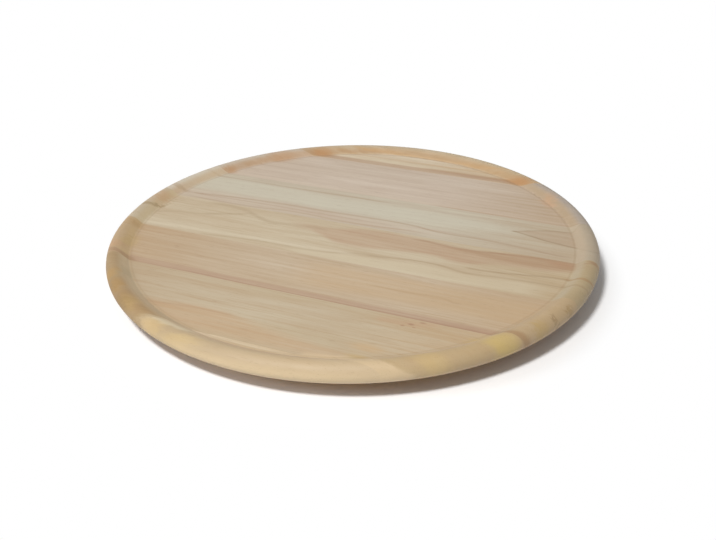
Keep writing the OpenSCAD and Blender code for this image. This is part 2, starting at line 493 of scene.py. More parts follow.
# %% Turn the rivet and the washer
rivet_low, rivet_high = (corner[2] for corner in dims_of("centre_rivet"))
washer_low, washer_high = (corner[2] for corner in dims_of("spacer_washer"))
RIVET_R, RIVET_HEAD_R, WASHER_R = 4, 8, 10
LOWER_SEAT, UPPER_SEAT = 5.7, 11.4
SMALL_STEPS = 64


def rivet_head(face, seat, inward):
    """Section of a head, from the middle of its face to its seat. inward is 1 or -1 along Z."""
    return [
        (0, face),
        (5.2, face + inward * 0.02, 6),
        (7.4, face + inward * 0.45, 0.8),
        (RIVET_HEAD_R, seat - inward * 0.35, 0.2),
        (RIVET_HEAD_R - 0.1, seat),
    ]


lower_head = rivet_head(rivet_low, LOWER_SEAT, 1)
upper_head = rivet_head(rivet_high, UPPER_SEAT, -1)
shank = [(RIVET_R, LOWER_SEAT), (RIVET_R, UPPER_SEAT)]
rivet = turn_piece("pivot_rivet", soften(lower_head + shank + upper_head[::-1]), SMALL_STEPS)
washer_section = soften([
    (BORE_R, washer_low, 0.3),
    (WASHER_R, washer_low, 0.4),
    (WASHER_R, washer_high, 0.4),
    (BORE_R, washer_high, 0.3),
])
washer = turn_piece("plate_washer", washer_section, SMALL_STEPS, close=True)
shade(rivet, 40)
shade(washer, 40)
settle(rivet, "base", "rivet_steel", "centre_rivet")
settle(washer, "base", "rivet_steel", "spacer_washer")

# %% [markdown]
# ## Screws
#
# Four short pan-head screws hold the upper plate to the board. The head is a low dome with a
# cross recess that narrows as it goes in, cut with two tapered bars. The point is turned as a
# plain cone, since the thread is out of sight in the wood.

# %% Turn one screw, cut its cross and copy it
SCREW_R, SCREW_HEAD_R, SCREW_HEAD_H, SCREW_POINT = 2, 4, 2.2, 3
CROSS_L, CROSS_W, CROSS_DEPTH = 4.6, 1.0, 1.2
CROSS_TAPER = (0.55, 0.7, 1)
SCREW_STEPS = 48
FIRST_TURN, NEXT_TURN = 23, 31
head_z = screw_boxes[0][0][2]
tip_z = screw_boxes[0][1][2]
seat_z = head_z + SCREW_HEAD_H

screw_section = soften([
    (0, head_z),
    (2.4, head_z + 0.08, 3.5),
    (SCREW_HEAD_R - 0.1, head_z + 0.9, 1.0),
    (SCREW_HEAD_R, seat_z, 0.2),
    (SCREW_R, seat_z),
    (SCREW_R, tip_z - SCREW_POINT),
    (0, tip_z),
])
screw_blank = turn_piece("screw_blank", screw_section, SCREW_STEPS)
for quarter in (0, 1):
    pick_only(None)
    bpy.ops.mesh.primitive_cube_add(size=MM, enter_editmode=True)
    bar = bpy.context.object
    bpy.ops.transform.resize(value=(CROSS_L, CROSS_W, 2 * CROSS_DEPTH))
    select_where(bar, "verts", lambda vert: vert.co.z > 0)
    bpy.ops.transform.resize(value=CROSS_TAPER)
    bpy.ops.object.mode_set(mode="OBJECT")
    across = Matrix.Rotation(quarter * math.pi / 2, 4, "Z")
    bar.data.transform(Matrix.Translation((0, 0, head_z * MM)) @ across)
    cut_away(screw_blank, bar)
for k, (x, y, _) in enumerate(screws_at, start=1):
    screw = own_copy(screw_blank, f"pan_head_screw_{k}")
    twist = Matrix.Rotation(math.radians(FIRST_TURN + NEXT_TURN * k), 4, "Z")
    screw.data.transform(Matrix.Translation((x * MM, y * MM, 0)) @ twist)
    shade(screw, 35)
    settle(screw, "turntable", "screw_steel", f"plate_screw_{k}")
bpy.data.objects.remove(screw_blank)

# %% [markdown]
# ## Rubber feet
#
# Each foot is a moulded button whose neck is pushed through a corner hole and whose head keeps
# it there. Moulded rubber has no sharp edge, so every corner of the section is rounded, and the
# sole is hollowed a little, as it is on real feet so that they grip.

# %% Mould one foot and copy it
FOOT_R, FOOT_H, NECK_R, FOOT_HEAD_R, SOLE_HOLLOW = 9, 4, 3.9, 5.5, 0.5
neck_top = FOOT_H + SHEET
foot_top = dims_of("rubber_foot_1")[1][2]

foot_section = soften([
    (0, SOLE_HOLLOW),
    (4.6, SOLE_HOLLOW, 0.4),
    (5.4, 0, 0.3),
    (FOOT_R - 0.2, 0, 1.1),
    (FOOT_R, FOOT_H, 0.5),
    (NECK_R, FOOT_H),
    (NECK_R, neck_top),
    (FOOT_HEAD_R, neck_top, 0.3),
    (FOOT_HEAD_R - 0.9, foot_top, 0.6),
    (0, foot_top),
], steps=6)
foot_blank = turn_piece("foot_blank", foot_section, SMALL_STEPS)
for k in range(1, 5):
    low, high = dims_of(f"rubber_foot_{k}")
    foot = own_copy(foot_blank, f"moulded_foot_{k}")
    move_mesh(foot, (low[0] + high[0]) / 2, (low[1] + high[1]) / 2, 0)
    shade(foot, 40)
    settle(foot, "base", "foot_rubber", f"rubber_foot_{k}")
bpy.data.objects.remove(foot_blank)

# %% [markdown]
# ## Nodes in short form
#
# Every finish is a tree of nodes. These helpers add a node or a few and return the output, so a
# finish below reads as a list of steps. Colours are written as they look on a screen and turned
# into the linear numbers that the renderer works with.

# %% Node helpers
def open_tree(owner):
    """Opens the nodes of a material or a world. The helpers add to the tree opened last."""
    global tree
    owner.use_nodes = True
    tree = owner.node_tree


def seen(red, green, blue):
    """A colour as seen on a screen, 0 to 255, as linear numbers."""
    parts = [v / 255 for v in (red, green, blue)]
    return [v / 12.92 if v < 0.04045 else ((v + 0.055) / 1.055) ** 2.4 for v in parts] + [1]


def add(kind, inputs, **settings):
    """Adds a node, and fills its inputs with numbers or with other nodes' outputs."""
    made = tree.nodes.new(kind)
    for key, value in settings.items():
        setattr(made, key, value)
    for key, value in inputs.items():
        if isinstance(value, bpy.types.NodeSocket):
            tree.links.new(value, made.inputs[key])
        else:
            made.inputs[key].default_value = value
    return made


def calc(operation, *values):
    """One Math node."""
    return add("ShaderNodeMath", dict(enumerate(values)), operation=operation).outputs[0]


def linear(value, factor, offset):
    """value times factor, plus offset."""
    return calc("MULTIPLY_ADD", value, factor, offset)


def minus(value, other):
    """value less other."""
    return calc("SUBTRACT", value, other)


def times(value, *others):
    """The product of two or more values."""
    for other in others:
        value = calc("MULTIPLY", value, other)
    return value


def length(one, two):
    """How far a point lies from the origin, by its two coordinates."""
    squares = [calc("POWER", part, 2.0) for part in (one, two)]
    return calc("SQRT", calc("ADD", *squares))


def wander(value, noise, reach):
    """Moves value by noise, up to half of reach either way."""
    return linear(noise, reach, minus(value, reach / 2))


def ease(value, start, end, low=0.0, high=1.0):
    """Goes smoothly from low to high while value goes from start to end."""
    ends = {"Value": value, "From Min": start, "From Max": end, "To Min": low, "To Max": high}
    return add("ShaderNodeMapRange", ends, interpolation_type="SMOOTHSTEP").outputs[0]


def cloud(place, stretch, detail=2.0, rough=0.5, shift=0.0):
    """Soft noise, whose patches are as long as stretch says in mm along X, Y and Z."""
    scale = tuple(1 / patch_size for patch_size in stretch)
    laid = add("ShaderNodeMapping", {"Vector": place, "Scale": scale, "Location": (shift,) * 3})
    inputs = {"Vector": laid.outputs[0], "Scale": 1.0, "Detail": detail, "Roughness": rough}
    return add("ShaderNodeTexNoise", inputs).outputs[0]


def tint(amount, under, over):
    """Lays the colour over on the colour under."""
    made = add("ShaderNodeMix", {0: amount, 6: under, 7: over}, data_type="RGBA")
    return made.outputs[2]


def start_finish(name):
    """A new material, and the place on the object in mm."""
    material = bpy.data.materials.new(name)
    open_tree(material)
    place = add("ShaderNodeTexCoord", {}).outputs["Object"]
    in_mm = add("ShaderNodeVectorMath", {0: place, 3: 1 / MM}, operation="SCALE").outputs[0]
    return material, in_mm


def dress(slot, material, colour, rough, height, strength, depth, **others):
    """Ends a finish with a bump, whose depth is in m, and gives it to the pieces in slot."""
    shader = tree.nodes["Principled BSDF"]
    tree.links.new(colour, shader.inputs["Base Color"])
    tree.links.new(rough, shader.inputs["Roughness"])
    bump = add("ShaderNodeBump", {"Height": height, "Strength": strength, "Distance": depth})
    tree.links.new(bump.outputs[0], shader.inputs["Normal"])
    for key, value in others.items():
        shader.inputs[key].default_value = value
    for piece in by_slot[slot]:
        piece.data.materials.clear()
        piece.data.materials.append(material)
    print(material.name, "has", len(tree.nodes), "nodes")


print("node helpers ready")

# %% [markdown]
# ## Marks in the wood
#
# Each stave is told apart by marks: a dark heart streak, a band beside a seam, a pointed arch
# where the saw met the rings, a knot. Each kind of mark below gives a mask, 1 on the mark and 0
# off it. A mark's line is a curve through a few points along the grain, laid down in mm.

# %% Masks for the marks
SPAN = 400.0
FADE, LEAN = 25, -0.35
SPOT_END, SPOT_FULL = 1.35, 0.25


def line_at(x, points):
    """Height of a smooth line through points, pairs of x and y in mm, at each x."""
    along = linear(x, 1 / SPAN, 0.5)
    curve = add("ShaderNodeFloatCurve", {"Factor": 1.0, "Value": along})
    track = curve.mapping.curves[0].points
    spots = [(px / SPAN + 0.5, py / SPAN + 0.5) for px, py in points]
    track[0].location, track[1].location = spots[0], spots[-1]
    for spot in spots[1:-1]:
        track.new(*spot)
    curve.mapping.extend = "HORIZONTAL"
    curve.mapping.update()
    return linear(curve.outputs[0], SPAN, -SPAN / 2)


def reach_mask(x, start, end, fade):
    """1 between start and end along the grain, fading out past them."""
    return times(ease(x, start - fade, start), ease(x, end + fade, end))


def streak(points, width, soft, colour, depth, fade=FADE, lean=LEAN):
    """A line of the grain through points, as wide as width, that leans as it rises."""
    def mask(x, across, rise):
        line = linear(rise, lean, line_at(x, points))
        off = calc("ABSOLUTE", minus(across, line))
        body = ease(off, width / 2 + soft, max(0.0, width / 2 - soft / 2))
        return times(body, reach_mask(x, points[0][0], points[-1][0], fade))
    return mask, colour, depth


def zone(upper, lower, soft, colour, depth, fade=FADE, lean=(LEAN, LEAN)):
    """The wood between two lines of the grain, each with its own lean."""
    def mask(x, across, rise):
        top = linear(rise, lean[0], line_at(x, upper))
        foot = linear(rise, lean[1], line_at(x, lower))
        under = ease(minus(top, across), -soft, soft)
        above = ease(minus(across, foot), -soft, soft)
        start = max(upper[0][0], lower[0][0])
        end = min(upper[-1][0], lower[-1][0])
        return times(under, above, reach_mask(x, start, end, fade))
    return mask, colour, depth


def patch(cx, cy, rx, ry, colour, depth):
    """A soft oval spot."""
    def mask(x, across, rise):
        u = linear(x, 1 / rx, -cx / rx)
        v = linear(across, 1 / ry, -cy / ry)
        return ease(length(u, v), SPOT_END, SPOT_FULL)
    return mask, colour, depth


def end_tone_and_shade(start, full, colour, depth):
    """A slow change of tone along the grain, from start until it is full, partly the wood's own and
    partly painted shade where less sheen and light reach the end.
    """
    def mask(x, across, rise):
        return ease(x, start, full)
    return mask, colour, depth


print("mark masks ready")

# %% [markdown]
# ## The wood itself
#
# Real boards are cut from a solid, so the figure is made as a solid too: growth rings round a
# heart line that runs beside the board, fibres drawn out along the grain, short pores, and slow
# drifts of colour. Because it is read from the place in the board, the grain of the tray runs
# over the rim and down the edge, and the ends show end grain, as sawn wood does. The lathe cut
# the slope and the crest of the rim through other layers of the plank, and the lacquer is
# thicker there, so each end of a stave has its own tone on the slope and on the crest.

# %% Build a stave finish
BEND_GRAIN, BEND = (120, 50, 50), 3.0
RIPPLE_GRAIN, RIPPLE = (30, 9, 9), 1.0
FIBRE_GRAIN, FINE_GRAIN, PORE_GRAIN = (90, 2.4, 2.4), (26, 0.6, 0.6), (9, 0.42, 0.42)
DRIFT_GRAIN, WARM_GRAIN, MOTTLE_GRAIN = (130, 28, 28), (70, 12, 12), (34, 9, 9)
WARM_DEPTH, LATE_DEPTH, FIBRE_DEPTH = 0.25, 0.2, 0.45
PORE_TONE, PORE_DEPTH = (122, 90, 62), 0.22
RIM_DEPTH = 0.7
RIM_FROM, RIM_FULL, RIM_MARKS_FROM = tray_r - 1.5, tray_r + 3, tray_r - 8
CREST_FROM, CREST_FULL = 181.0, 187.0
LEFT_X, RIGHT_X = -90, 90
RAGGED_ALONG, RAGGED_ACROSS = 26.0, 10.0
# Painted shade for the crease of the cove
COVE_PAINTED_SHADE, COVE_SHADE_DEPTH = (150, 122, 88), 0.22
COVE_AT, COVE_END, COVE_FULL = tray_r - 0.6, 1.3, 0.3
TOP_FROM, TOP_FULL = board_high - 6.0, board_high - 5.2
# Painted shade for the underside of the board
UNDERSIDE_PAINTED_SHADE, UNDERSIDE_SHADE_DEPTH = (156, 114, 72), 0.7
UNDER_FROM, UNDER_FULL = board_low + 1.6, board_low + 0.4
# Painted light for the lower front edge
FRONT_EDGE_PAINTED_LIGHT, FRONT_EDGE_LIGHT_DEPTH = (230, 206, 166), 0.48
EDGE_FROM, EDGE_FULL = board_high - 2.0, board_high - 8.0
EDGE_RADIUS, EDGE_FRONT = (186.0, 188.0), (-70.0, -175.0)
EDGE_LEFT, EDGE_RIGHT = (-115.0, -15.0), (150.0, 50.0)


def stave_wood(number, name, marks, rim_marks, tray, heart, ring, seed, slopes, crests):
    """Finishes one stave, with its pale, usual and deep tone on the tray.

    heart is where the heart line lies across and above in mm, and its drift along the grain, and
    ring is the width of a growth ring. slopes and crests are the rim's tones, left and right.
    """
    pale, body, deep = (seen(*tone) for tone in tray)
    material, place = start_finish(name)
    x, y, z = add("ShaderNodeSeparateXYZ", {0: place}).outputs

    # The grain wanders a little, and marks lean as they go down through the board
    rise = minus(z, tray_z)
    across = wander(y, cloud(place, BEND_GRAIN, 1.0, shift=seed), BEND)
    across = wander(across, cloud(place, RIPPLE_GRAIN, 2.0, shift=seed + 7), RIPPLE)

    # Growth rings round the heart line
    from_heart = minus(across, linear(x, heart[2], heart[0]))
    above = minus(z, heart[1])
    phase = calc("FRACT", calc("DIVIDE", length(from_heart, above), ring))
    late = times(ease(phase, 0.35, 0.9), ease(phase, 1.0, 0.92))

    # Fibres, fine fibres, pores and slow drifts of colour
    laid = add("ShaderNodeCombineXYZ", {0: x, 1: across, 2: z}).outputs[0]
    fibre = cloud(laid, FIBRE_GRAIN, 4.0, 0.6, seed + 1)
    fine = cloud(laid, FINE_GRAIN, 3.0, 0.6, seed + 2)
    pore = ease(cloud(laid, PORE_GRAIN, 1.0, shift=seed + 3), 0.64, 0.74)
    drift = ease(cloud(place, DRIFT_GRAIN, 2.0, shift=seed + 4), 0.35, 0.65)
    warm = ease(cloud(place, WARM_GRAIN, 2.0, shift=seed + 5), 0.4, 0.7)
    mottle = cloud(place, MOTTLE_GRAIN, 3.0, 0.6, seed + 6)

    colour = tint(drift, body, pale)
    colour = tint(times(warm, WARM_DEPTH), colour, deep)
    colour = tint(times(late, LATE_DEPTH), colour, deep)
    colour = tint(ease(fibre, 0.45, 0.75, 0.0, FIBRE_DEPTH), colour, deep)
    colour = tint(ease(fine, 0.45, 0.8, 0.0, FIBRE_DEPTH), colour, deep)

    # Marks follow the fibres, so their edges are drawn out and broken
    broken = ease(fibre, 0.3, 0.7, 0.7, 1.1)
    for mask, mark_colour, depth in marks:
        amount = times(mask(x, across, rise), broken, depth)
        colour = tint(amount, colour, seen(*mark_colour))

    # The rim has tones of its own, first the slope and then the crest, left and right
    radius = length(x, y)
    on_rim = ease(radius, RIM_FROM, RIM_FULL)
    to_right = ease(x, LEFT_X, RIGHT_X)
    slope = tint(to_right, seen(*slopes[0]), seen(*slopes[1]))
    crest = tint(to_right, seen(*crests[0]), seen(*crests[1]))
    rim = tint(ease(radius, CREST_FROM, CREST_FULL), slope, crest)
    patchy = ease(mottle, 0.3, 0.65, 0.82, 1.1)
    colour = tint(times(on_rim, patchy, RIM_DEPTH), colour, rim)

    # Marks on the rim have ragged edges
    by_rim = ease(radius, RIM_MARKS_FROM, tray_r)
    ragged_x = wander(x, fibre, RAGGED_ALONG)
    ragged_y = wander(across, mottle, RAGGED_ACROSS)
    for mask, mark_colour, depth in rim_marks:
        amount = times(mask(ragged_x, ragged_y, rise), by_rim, depth, patchy)
        colour = tint(amount, colour, seen(*mark_colour))

    # Painted light makes the lower front edge paler, and painted shade darkens a thin line in the cove
    # and the underside
    edge = times(ease(z, EDGE_FROM, EDGE_FULL), ease(radius, *EDGE_RADIUS))
    middle = times(ease(x, *EDGE_LEFT), ease(x, *EDGE_RIGHT))
    edge = times(edge, middle, ease(y, *EDGE_FRONT), FRONT_EDGE_LIGHT_DEPTH)
    colour = tint(edge, colour, seen(*FRONT_EDGE_PAINTED_LIGHT))
    # Painted shade: a thin darker line in the cove, where the tray meets the slope
    off_cove = calc("ABSOLUTE", minus(radius, COVE_AT))
    cove_shade = times(ease(off_cove, COVE_END, COVE_FULL), ease(z, TOP_FROM, TOP_FULL))
    colour = tint(times(cove_shade, COVE_SHADE_DEPTH), colour, seen(*COVE_PAINTED_SHADE))
    # Painted shade: the bottom of the board is painted darker brown
    colour = tint(ease(z, UNDER_FROM, UNDER_FULL, 0.0, UNDERSIDE_SHADE_DEPTH), colour, seen(*UNDERSIDE_PAINTED_SHADE))
    colour = tint(times(pore, PORE_DEPTH), colour, seen(*PORE_TONE))
    gloss = linear(fine, 0.18, 0.48)
    rough = linear(pore, 0.12, gloss)
    relief = minus(times(fine, 0.5), pore)
    slot = f"stave_{number}_wood"
    dress(slot, material, colour, rough, relief, strength=0.12, depth=0.00012, IOR=1.45)


print("rim tones from the slope at", round(tray_r, 1), "to the crest at", crest_r, "mm")

# %% [markdown]
# ## Seven different staves
#
# No two staves come from the same plank. From the back to the front: a honey one with a dark
# band at its seam, an even pinkish one, a pale cream one with an arch at its right end, a cream
# one with a red-brown heart streak, a pinkish brown one, a pale beige one with two small knots,
# and a narrow yellow cream one. The colours are chosen against the photograph.

# %% Finish of stave 1, honey with a dark seam band
ORANGE_BROWN = (178, 132, 86)

marks = [
    end_tone_and_shade(0, 100, (192, 164, 130), 0.6),
    streak([(-140, 149), (-40, 148.6), (40, 149.4), (100, 149)], 6.5, 2.5, (166, 130, 104), 0.7),
    streak([(20, 153), (60, 153), (110, 151)], 4, 3, (172, 138, 104), 0.5),
    streak([(-140, 162), (0, 164), (140, 163)], 2.5, 2, (194, 160, 120), 0.4),
]
rim_marks = [
    patch(-97, 152, 15, 8, ORANGE_BROWN, 0.55),
    patch(101, 150, 17, 8, ORANGE_BROWN, 0.65),
    streak([(-80, 172), (0, 178), (80, 168)], 3, 3, (194, 154, 104), 0.35),
]
stave_wood(
    1, "honey_stave", marks, rim_marks,
    tray=((218, 203, 179), (212, 196, 168), (188, 162, 130)),
    heart=(250, -40, 0.02), ring=6.5, seed=11.0,
    slopes=((164, 129, 88), (170, 138, 98)), crests=((184, 162, 130), (186, 166, 132)),
)

# %% Finish of stave 2, even pinkish beige
marks = [
    end_tone_and_shade(30, 160, (176, 150, 118), 0.75),
    streak([(-160, 127), (0, 129), (100, 128)], 2, 2, (208, 194, 176), 0.5),
    streak([(-160, 79), (0, 78.5), (170, 79)], 2.5, 2, (206, 190, 168), 0.4),
    streak([(60, 76.8), (110, 77.5), (170, 78)], 1.6, 1.5, (172, 140, 112), 0.5),
]
rim_marks = [
    patch(-128, 126, 18, 12, (182, 140, 100), 0.45),
    patch(-158, 78, 8, 8, (182, 138, 96), 0.5),
    patch(134, 116, 8, 14, (200, 156, 120), 0.4),
]
stave_wood(
    2, "pinkish_beige_stave", marks, rim_marks,
    tray=((206, 190, 172), (200, 183, 164), (181, 159, 137)),
    heart=(20, -160, 0.0), ring=5.5, seed=23.0,
    slopes=((176, 142, 106), (169, 148, 120)), crests=((193, 179, 160), (162, 153, 144)),
)

# %% Finish of stave 3, pale cream with an arch
ARCH_TOP = [(121, 52), (133, 58), (143, 62), (154, 64.6), (163, 66), (200, 70)]
ARCH_FOOT = [(121, 52), (136, 48), (148, 44.5), (160, 42.6), (170, 41), (200, 37)]
ARCH_LEAN = (1.5, -1.9)

marks = [
    end_tone_and_shade(50, 175, (176, 152, 120), 0.6),
    zone([(-200, 64), (0, 63), (90, 60)], [(-200, 37), (0, 38), (90, 45)], 6, (200, 193, 173), 0.7, 60),
    zone([(-180, 33), (0, 33), (50, 31)], [(-180, 16), (0, 17), (50, 20)], 4, (196, 174, 154), 0.4, 40),
    streak([(-190, 67), (-90, 66), (-10, 67)], 1.8, 1.5, (168, 145, 118), 0.5),
    streak([(-160, 25), (-107, 30), (-44, 32), (40, 32), (63, 28), (104, 28), (163, 22.6)], 1.8, 1.4,
           (166, 140, 114), 0.55, 12),
    streak([(-150, 24), (-60, 26), (10, 26)], 1.3, 1.2, (172, 144, 122), 0.4),
    streak([(-150, 17), (-100, 17), (-69, 20.5), (0, 19), (40, 22)], 1.6, 1.3, (170, 142, 116), 0.5),
    zone(ARCH_TOP, ARCH_FOOT, 1.2, (176, 152, 126), 0.55, 3, ARCH_LEAN),
    streak(ARCH_TOP, 1.3, 1, (152, 128, 98), 0.5, 4, ARCH_LEAN[0]),
    streak(ARCH_FOOT, 1.5, 1, (148, 124, 94), 0.6, 4, ARCH_LEAN[1]),
]
rim_marks = [streak([(-195, 30), (-178, 26), (-166, 25)], 2.5, 2, (164, 138, 106), 0.4, 6)]
stave_wood(
    3, "pale_cream_stave", marks, rim_marks,
    tray=((199, 190, 169), (193, 180, 158), (176, 155, 132)),
    heart=(-90, -70, 0.05), ring=6.0, seed=37.0,
    slopes=((197, 171, 138), (181, 164, 140)), crests=((204, 191, 172), (166, 153, 132)),
)

# %% Finish of stave 4, cream with a heart streak
HEART_TOP = [(-38, 2), (-17, 3), (4, 10), (62, 10.5), (96, 8), (134, 13.5), (176, 15)]
HEART_FOOT = [
    (-38, -4), (-21, -12), (-6, -19), (45, -15), (70, -12), (96, -16), (121, -8), (157, -5), (176, 1),
]

marks = [
    end_tone_and_shade(60, 180, (174, 147, 108), 0.55),
    zone(HEART_TOP, HEART_FOOT, 3.5, (178, 146, 118), 0.65, 22),
    zone([(100, 8), (134, 13), (176, 15)], [(100, 2), (134, -1), (176, 3)], 3, (162, 128, 94), 0.5, 25),
    streak([(60, 9), (96, 7), (134, 12.5), (176, 15)], 2.0, 1.6, (156, 120, 88), 0.55, 15),
    patch(168, 9, 12, 4.5, (168, 124, 92), 0.35),
    streak([(-131, 11.5), (-103, 8.5), (-87, 0.5), (-72, -4.5), (-52, -2), (-30, -1)], 3, 2.6,
           (168, 146, 116), 0.45, 14),
    streak([(-128, -9), (-107, -1), (-96, 5)], 2.2, 2, (172, 150, 120), 0.35, 8),
    streak([(-172, -20), (-159, -15), (-139, -12), (-119, -4), (-105, 0)], 1.6, 1.5,
           (168, 146, 114), 0.4, 8),
    streak([(106, -21.5), (121, -20.8), (141, -17.5), (159, -13.6), (180, -12.6)], 1.6, 1.3,
           (152, 126, 92), 0.5, 8),
    streak([(30, -29), (59, -25), (77, -24), (103, -29), (133, -26.2), (178, -24.5)], 1.6, 1.4,
           (156, 131, 99), 0.42, 10),
    streak([(-110, -44), (-71, -39.7), (-19, -38.2), (-3, -36), (19, -29), (34, -28.5)], 1.4, 1.3,
           (162, 140, 109), 0.38, 10),
    streak([(-169, -41), (-71, -36), (-19, -34), (0, -32)], 3, 2, (209, 196, 171), 0.55),
    zone([(-20, -40), (37, -32), (79, -28.5), (104, -31), (146, -28)],
         [(-20, -46), (44, -47), (150, -44)], 3, (205, 191, 163), 0.6, 25),
]
rim_marks = [
    patch(-183, 0, 9, 13, (188, 150, 112), 0.6),
    streak([(-194, -18), (-180, -14.6), (-174, -9), (-170, 2), (-167, 10)], 3.4, 2,
           (150, 126, 88), 0.65, 3),
    patch(190, 12, 6, 3.5, (152, 114, 80), 0.6),
    streak([(176, -12.5), (194, -13)], 2, 1.6, (160, 124, 80), 0.55, 5),
    streak([(176, -24.5), (194, -26)], 1.8, 1.5, (158, 132, 96), 0.45, 5),
]
stave_wood(
    4, "heart_streak_stave", marks, rim_marks,
    tray=((199, 184, 157), (193, 175, 147), (174, 150, 118)),
    heart=(-14, -55, 0.03), ring=6.0, seed=51.0,
    slopes=((198, 178, 141), (180, 166, 139)), crests=((184, 167, 142), (168, 148, 112)),
)

# %% Finish of stave 5, pinkish brown
marks = [
    end_tone_and_shade(-60, -175, (176, 146, 110), 0.7),
    end_tone_and_shade(50, 175, (178, 146, 106), 0.45),
    zone([(10, -55), (180, -55)], [(10, -88), (180, -86)], 6, (190, 162, 126), 0.6, 40),
    streak([(-20, -48.6), (14, -50.5), (60, -52.5)], 2.2, 2, (172, 148, 114), 0.4),
    streak([(50, -72), (78, -72.4), (99, -70.8), (108, -74)], 1.4, 1.3, (168, 140, 106), 0.28, 10),
    streak([(-190, -100.5), (-60, -101), (60, -101.5), (190, -102)], 6, 2.5, (168, 136, 112), 0.65),
    streak([(-190, -103.8), (190, -103.8)], 1.2, 1, (154, 118, 92), 0.45),
]
rim_marks = [
    patch(-174, -53, 9, 7, (172, 140, 96), 0.6),
    patch(-158, -78, 8, 13, (184, 156, 102), 0.45),
    patch(-166, -92, 12, 6, (182, 144, 108), 0.5),
    streak([(-172, -98), (-154, -100.5), (-141, -104)], 4, 2.4, (150, 116, 84), 0.6, 6),
    patch(187, -58, 4, 6, (160, 132, 84), 0.6),
    patch(178, -73, 3, 3, (146, 120, 82), 0.6),
    patch(174, -88, 7, 8, (180, 152, 96), 0.5),
    streak([(150, -102), (163, -101), (174, -103)], 3, 2, (156, 122, 84), 0.55, 6),
]
stave_wood(
    5, "pinkish_brown_stave", marks, rim_marks,
    tray=((196, 178, 153), (190, 170, 143), (172, 145, 114)),
    heart=(-190, -60, 0.0), ring=5.0, seed=67.0,
    slopes=((196, 168, 122), (181, 158, 124)), crests=((174, 148, 112), (179, 154, 117)),
)

# %% Finish of stave 6, pale beige with two small knots
GOLDEN_BROWN = (168, 132, 76)

marks = [
    end_tone_and_shade(-20, -150, (170, 144, 112), 0.6),
    end_tone_and_shade(30, 140, (184, 150, 108), 0.45),
    zone([(-120, -150), (-87, -147), (-50, -142.5), (-10, -149), (55, -160)],
         [(-120, -171), (-23, -171), (55, -170)], 6, (188, 152, 114), 0.45, 18),
    streak([(-95, -150), (-60, -146), (-34, -145)], 1.6, 1.5, (172, 138, 104), 0.4, 12),
    patch(73, -148, 13, 5, (200, 162, 114), 0.4),
    patch(74, -161.5, 12, 4, (190, 162, 106), 0.45),
    patch(90, -111, 2.6, 1.4, (136, 96, 70), 0.75),
    patch(97, -106.5, 2.8, 1.2, (142, 100, 74), 0.6),
    patch(85, -114.5, 1.8, 0.9, (148, 104, 76), 0.6),
    patch(93, -114, 1.5, 0.8, (156, 112, 84), 0.45),
    streak([(70, -112), (90, -110.5), (104, -106)], 4, 4, (186, 152, 122), 0.4, 8),
]
rim_marks = [
    patch(-131, -127, 9, 12, (166, 148, 114), 0.4),
    patch(-140, -132, 8, 8, GOLDEN_BROWN, 0.6),
    patch(-126, -146, 9, 9, GOLDEN_BROWN, 0.6),
    patch(-106, -163, 14, 8, (188, 160, 106), 0.5),
    patch(155, -114, 22, 10, (200, 174, 106), 0.6),
    patch(118, -151, 20, 7, (202, 174, 118), 0.4),
    # Painted shade over the wood's golden tone: two dark patches on the rim at the left front
    patch(-136, -150, 15, 13, (126, 96, 50), 0.5),
    patch(-114, -165, 17, 13, (122, 92, 46), 0.6),
    zone([(40, -163.5), (112, -163.5)], [(40, -176), (112, -176)], 1.8, (212, 188, 152), 0.6, 6),
]
stave_wood(
    6, "pale_beige_stave", marks, rim_marks,
    tray=((192, 177, 151), (186, 169, 140), (171, 142, 108)),
    heart=(-150, -120, 0.02), ring=5.5, seed=83.0,
    slopes=((194, 172, 136), (191, 167, 133)), crests=((146, 118, 76), (181, 156, 116)),
)

# %% Finish of stave 7, yellow cream
# A thin pale line beside the seam, at the front of the tray, is a painted highlight
marks = [streak([(-50, -174.3), (60, -174.3)], 1.8, 1.6, (212, 196, 168), 0.35, 30)]
rim_marks = [
    patch(-74, -181, 15, 5, (202, 170, 110), 0.45),
    patch(-91, -174, 11, 9, (162, 134, 90), 0.55),
    patch(-48, -188, 24, 4, (202, 174, 116), 0.4),
    # Partly the wood's tone and partly painted shade: two darker patches on the outer edge at the left
    # front
    patch(-98, -177, 16, 11, (134, 106, 62), 0.5),
    patch(-68, -190, 24, 9, (168, 144, 102), 0.45),
    streak([(-70, -174), (-55, -175.5), (-42, -177)], 2.4, 2, (214, 200, 168), 0.5, 8),
]
stave_wood(
    7, "yellow_cream_stave", marks, rim_marks,
    tray=((206, 187, 157), (198, 177, 145), (184, 156, 119)),
    heart=(-260, -60, 0.0), ring=7.0, seed=97.0,
    slopes=((208, 181, 146), (188, 159, 126)), crests=((164, 143, 111), (191, 168, 134)),
)

# %% [markdown]
# ## Zinc-plated sheet
#
# The plates are cold-rolled steel with a thin bright zinc coat. Three things tell it from plain
# grey metal: fine rolling lines, faint cloudy patches in the coat, and a polished track where
# the balls run. The rolling lines are noise drawn out along one direction.

